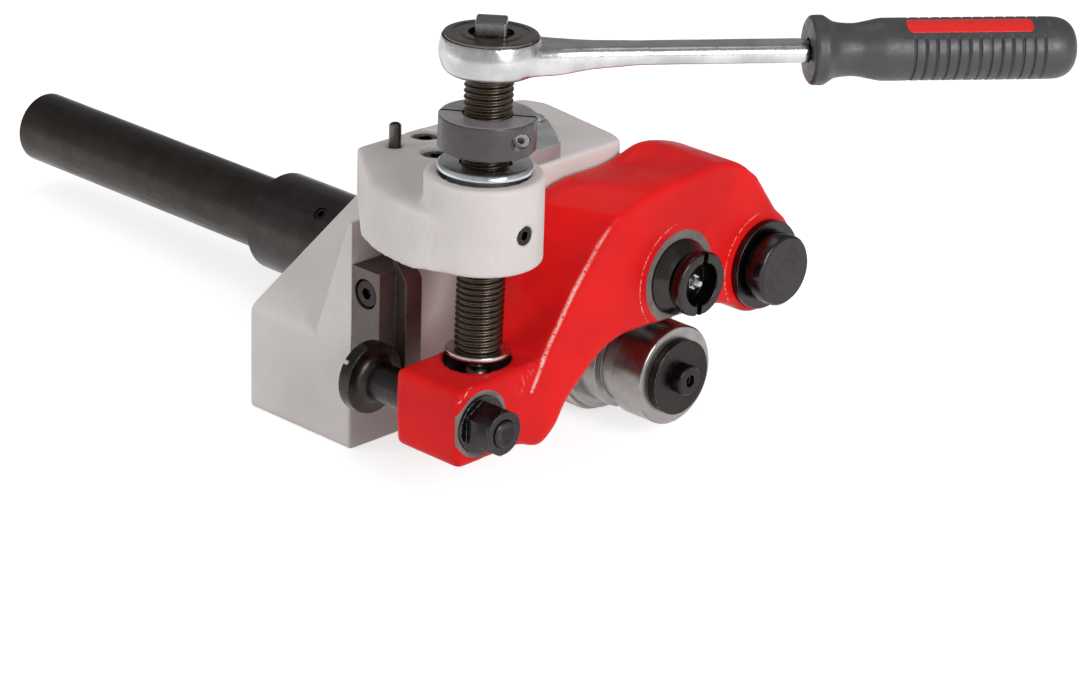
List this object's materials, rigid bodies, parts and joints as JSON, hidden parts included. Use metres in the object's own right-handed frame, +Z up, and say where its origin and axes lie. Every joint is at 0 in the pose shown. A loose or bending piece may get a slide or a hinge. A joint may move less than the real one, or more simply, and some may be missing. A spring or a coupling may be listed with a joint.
{
  "type": "pipe roll groover",
  "caption": "Roll groover for pipe: a screw-fed arm presses a ridged roll onto a driven roll, turned by a drive bar.",
  "frame": {"origin": "middle of the housing's underside", "axes": "+Y along the drive bar away from the rolls, +X along the arm towards its pivot, +Z up"},
  "size_m": [0.2376, 0.5521, 0.2037],
  "materials": {
    "grey_casting": "light grey cast finish, slightly grainy",
    "black_steel": "blackened steel, satin, worn at the edges",
    "spring_steel": "dark spring steel",
    "zinc": "bright zinc plating",
    "brown_steel": "dark oiled steel",
    "red_paint": "glossy red enamel on a casting",
    "bright_steel": "ground steel, lightly oiled",
    "bronze": "bearing bronze",
    "seal_rubber": "black sealing rubber",
    "chrome": "satin chrome, bright",
    "grip_plastic": "black moulded grip, fine grain",
    "red_inset": "red inset, plain"
  },
  "bodies": {
    "frame": {"housing": "grey_casting", "screw_bracket": "grey_casting", "bracket_screw_1": "black_steel", "bracket_screw_2": "black_steel", "bracket_screw_3": "black_steel", "roll_pin": "spring_steel", "depth_gauge": "zinc", "gauge_screw": "zinc", "guide_block": "brown_steel", "guide_block_screw_1": "black_steel", "guide_block_screw_2": "black_steel", "trunnion_screw_front": "black_steel", "trunnion_screw_rear": "black_steel", "pivot_pin": "bright_steel", "pivot_cap": "black_steel", "pivot_washer": "bright_steel", "pivot_nut": "black_steel", "front_bearing": "bright_steel", "rear_bearing": "bright_steel", "front_seal": "seal_rubber", "bearing_cover": "black_steel", "bearing_cover_screw_1": "black_steel", "bearing_cover_screw_2": "black_steel", "bearing_cover_screw_3": "black_steel", "bearing_cover_screw_4": "black_steel"},
    "arm_body": {"arm": "red_paint", "swivel_seat": "bright_steel", "guide_bolt": "black_steel", "guide_nut": "black_steel", "groove_roll_spindle": "black_steel", "grease_nipple": "zinc", "spindle_circlip": "spring_steel", "pivot_bush": "bronze"},
    "groove_roll_body": {"groove_roll": "bright_steel", "groove_roll_bush": "bronze"},
    "drive_body": {"drive_shaft": "bright_steel", "drive_roll": "bright_steel", "drive_roll_key": "bright_steel", "drive_roll_washer": "black_steel", "drive_roll_screw": "black_steel", "drive_coupling": "black_steel", "coupling_set_screw_1": "black_steel", "coupling_set_screw_2": "black_steel", "drive_bar": "black_steel"},
    "nut_body": {"rocking_nut": "zinc"},
    "screw_body": {"feed_screw": "brown_steel", "thrust_washer": "zinc", "clamp_collar_rear": "bright_steel", "collar_screw_rear": "black_steel", "clamp_collar_front": "bright_steel", "collar_screw_front": "black_steel", "ratchet_gear": "bright_steel", "square_drive": "brown_steel"},
    "ratchet_handle": {"ratchet_body": "chrome", "ratchet_cover": "brown_steel", "ratchet_pawl": "bright_steel", "ratchet_grip": "grip_plastic", "grip_inset": "red_inset"}
  },
  "joints": [
    {"name": "arm_swing", "type": "hinge", "parent": "frame", "child": "arm_body", "pos_m": [0.0685, -0.096, 0.069], "axis": [0, 1, 0], "range_deg": [-2, 10]},
    {"name": "nut_rock", "type": "hinge", "parent": "frame", "child": "nut_body", "pos_m": [-0.08, -0.096, 0.119], "axis": [0, 1, 0], "range_deg": [-0.5, 2.1]},
    {"name": "screw_feed", "type": "slide", "parent": "nut_body", "child": "screw_body", "axis": [0.0236, 0, 0.9997], "range_m": [-0.00526, 0.0263]},
    {"name": "ratchet_swing", "type": "hinge", "parent": "screw_body", "child": "ratchet_handle", "pos_m": [-0.08, -0.096, 0.119], "axis": [0.0236, 0, 0.9997], "continuous": true},
    {"name": "groove_roll_spin", "type": "hinge", "parent": "arm_body", "child": "groove_roll_body", "pos_m": [0.016, -0.096, 0.0763], "axis": [0, 1, 0], "continuous": true},
    {"name": "drive_spin", "type": "hinge", "parent": "frame", "child": "drive_body", "pos_m": [0.0189, -0.096, 0.0297], "axis": [0, 1, 0], "continuous": true}
  ],
  "couplings": [
    {"joint": "nut_rock", "follows": "arm_swing", "ratio": 0.2},
    {"joint": "screw_feed", "follows": "arm_swing", "m_per_rad": 0.15}
  ]
}
